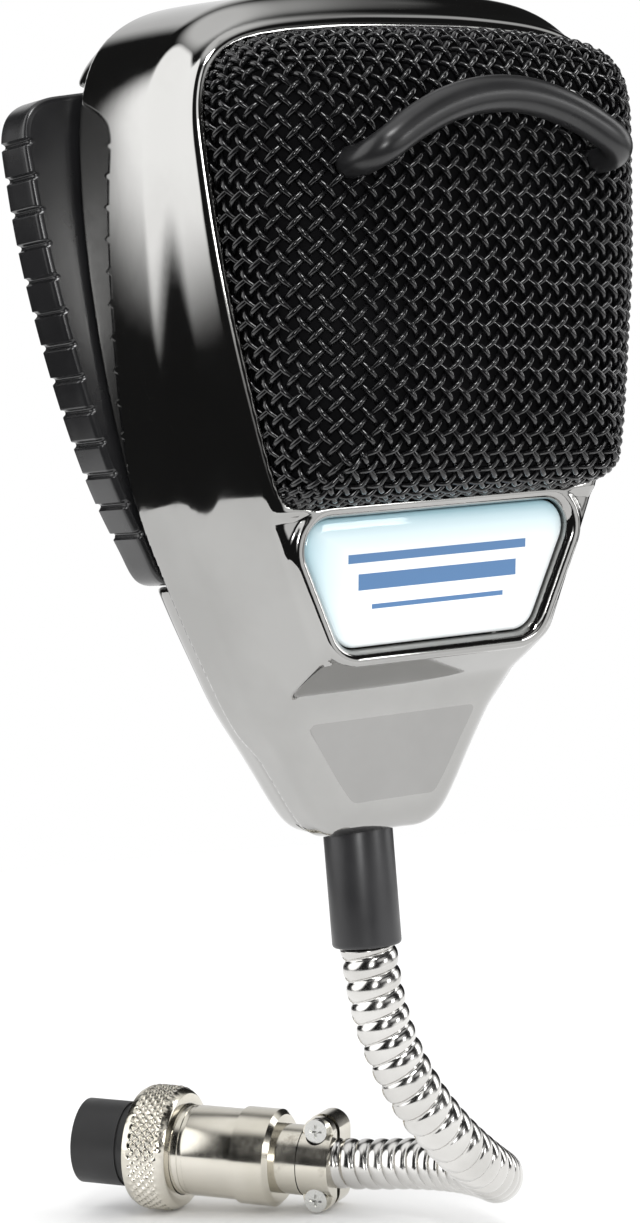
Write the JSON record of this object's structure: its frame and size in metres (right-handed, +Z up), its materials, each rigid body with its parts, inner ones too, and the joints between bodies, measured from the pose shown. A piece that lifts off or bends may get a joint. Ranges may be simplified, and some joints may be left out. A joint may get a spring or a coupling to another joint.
{
  "type": "hand microphone",
  "caption": "Hand-held radio microphone: tapered bright shell, domed woven grille with lip guard, side push-to-talk lever, armoured lead and screw-ring plug.",
  "frame": {"origin": "centre of the underside of the hang-up button's head, 3 mm behind the back cover", "axes": "+Z up the long axis towards the top of the grille, +Y out of the back along the button, -Y out of the grille, push-to-talk lever on -X"},
  "size_m": [0.076, 0.1344, 0.1691],
  "materials": {
    "front_housing": "polished chrome plate over a zinc casting",
    "back_cover": "polished chrome plate over a zinc casting",
    "cover_screws": "plated steel pan-head screws",
    "grille_mesh": "gloss black woven wire, opaque",
    "grille_retainer": "black moulding",
    "retainer_screws": "plated steel",
    "foam_windscreen": "open-cell foam",
    "lip_guard": "satin black",
    "lip_guard_screws": "plated steel",
    "name_plate": "white printed foil",
    "name_plate_dome": "clear domed resin",
    "mic_capsule": "dynamic capsule can",
    "capsule_boot": "soft rubber",
    "capsule_bracket": "zinc-plated steel",
    "capsule_screws": "plated steel",
    "ptt_lever": "black moulded plastic",
    "ptt_pivot_pin": "ground steel",
    "ptt_spring": "spring steel",
    "switch_stack": "brown phenolic insulators",
    "switch_leaves": "phosphor bronze",
    "switch_blade": "phosphor bronze",
    "switch_screws": "plated steel",
    "terminal_board": "phenolic board with tinned posts",
    "board_screws": "plated steel",
    "hookup_wires": "insulated wire",
    "inner_cable": "cable jacket",
    "cable_clamp": "pressed steel",
    "cable_clamp_screws": "plated steel",
    "strain_relief": "satin black sleeve",
    "hang_button": "turned, nickel plated",
    "hang_button_screw": "plated steel screw and nut",
    "armoured_cord": "bright interlocked steel armour",
    "plug_insert": "black phenolic",
    "plug_contacts": "plated brass sockets",
    "plug_shell": "bright nickel plate",
    "plug_snap_ring": "spring steel",
    "plug_coupling_ring": "bright nickel plate, knurled",
    "plug_collar": "bright nickel plate",
    "plug_clamp_saddle": "bright nickel plate",
    "plug_clamp_screws": "plated steel"
  },
  "bodies": {
    "housing": {"front_housing": "front_housing", "back_cover": "back_cover", "cover_screws": "cover_screws", "grille_mesh": "grille_mesh", "grille_retainer": "grille_retainer", "retainer_screws": "retainer_screws", "foam_windscreen": "foam_windscreen", "lip_guard": "lip_guard", "lip_guard_screws": "lip_guard_screws", "name_plate": "name_plate", "name_plate_dome": "name_plate_dome", "mic_capsule": "mic_capsule", "capsule_boot": "capsule_boot", "capsule_bracket": "capsule_bracket", "capsule_screws": "capsule_screws", "ptt_pivot_pin": "ptt_pivot_pin", "switch_stack": "switch_stack", "switch_leaves": "switch_leaves", "switch_blade": "switch_blade", "switch_screws": "switch_screws", "terminal_board": "terminal_board", "board_screws": "board_screws", "hookup_wires": "hookup_wires", "inner_cable": "inner_cable", "cable_clamp": "cable_clamp", "cable_clamp_screws": "cable_clamp_screws", "strain_relief": "strain_relief", "hang_button": "hang_button", "hang_button_screw": "hang_button_screw", "armoured_cord": "armoured_cord", "plug_insert": "plug_insert", "plug_contacts": "plug_contacts", "plug_shell": "plug_shell", "plug_collar": "plug_collar", "plug_clamp_saddle": "plug_clamp_saddle", "plug_clamp_screws": "plug_clamp_screws"},
    "lever": {"ptt_lever": "ptt_lever", "ptt_spring": "ptt_spring"},
    "snap_ring": {"plug_snap_ring": "plug_snap_ring"},
    "coupling_ring": {"plug_coupling_ring": "plug_coupling_ring"}
  },
  "joints": [
    {"name": "push_to_talk", "type": "hinge", "parent": "housing", "child": "lever", "pos_m": [-0.0225, -0.008, -0.0325], "axis": [0, 1, 0], "range_deg": [0, 3.5], "stiffness_Nm_per_rad": 0.6, "deforming": ["ptt_spring"]},
    {"name": "ring_slide", "type": "slide", "parent": "housing", "child": "snap_ring", "axis": [-0.5714, 0.816, 0.0872], "range_m": [0, 0.003]},
    {"name": "ring_turn", "type": "hinge", "parent": "snap_ring", "child": "coupling_ring", "pos_m": [0.01187, 0.06189, -0.12427], "axis": [-0.5714, 0.816, 0.0872], "continuous": true}
  ]
}
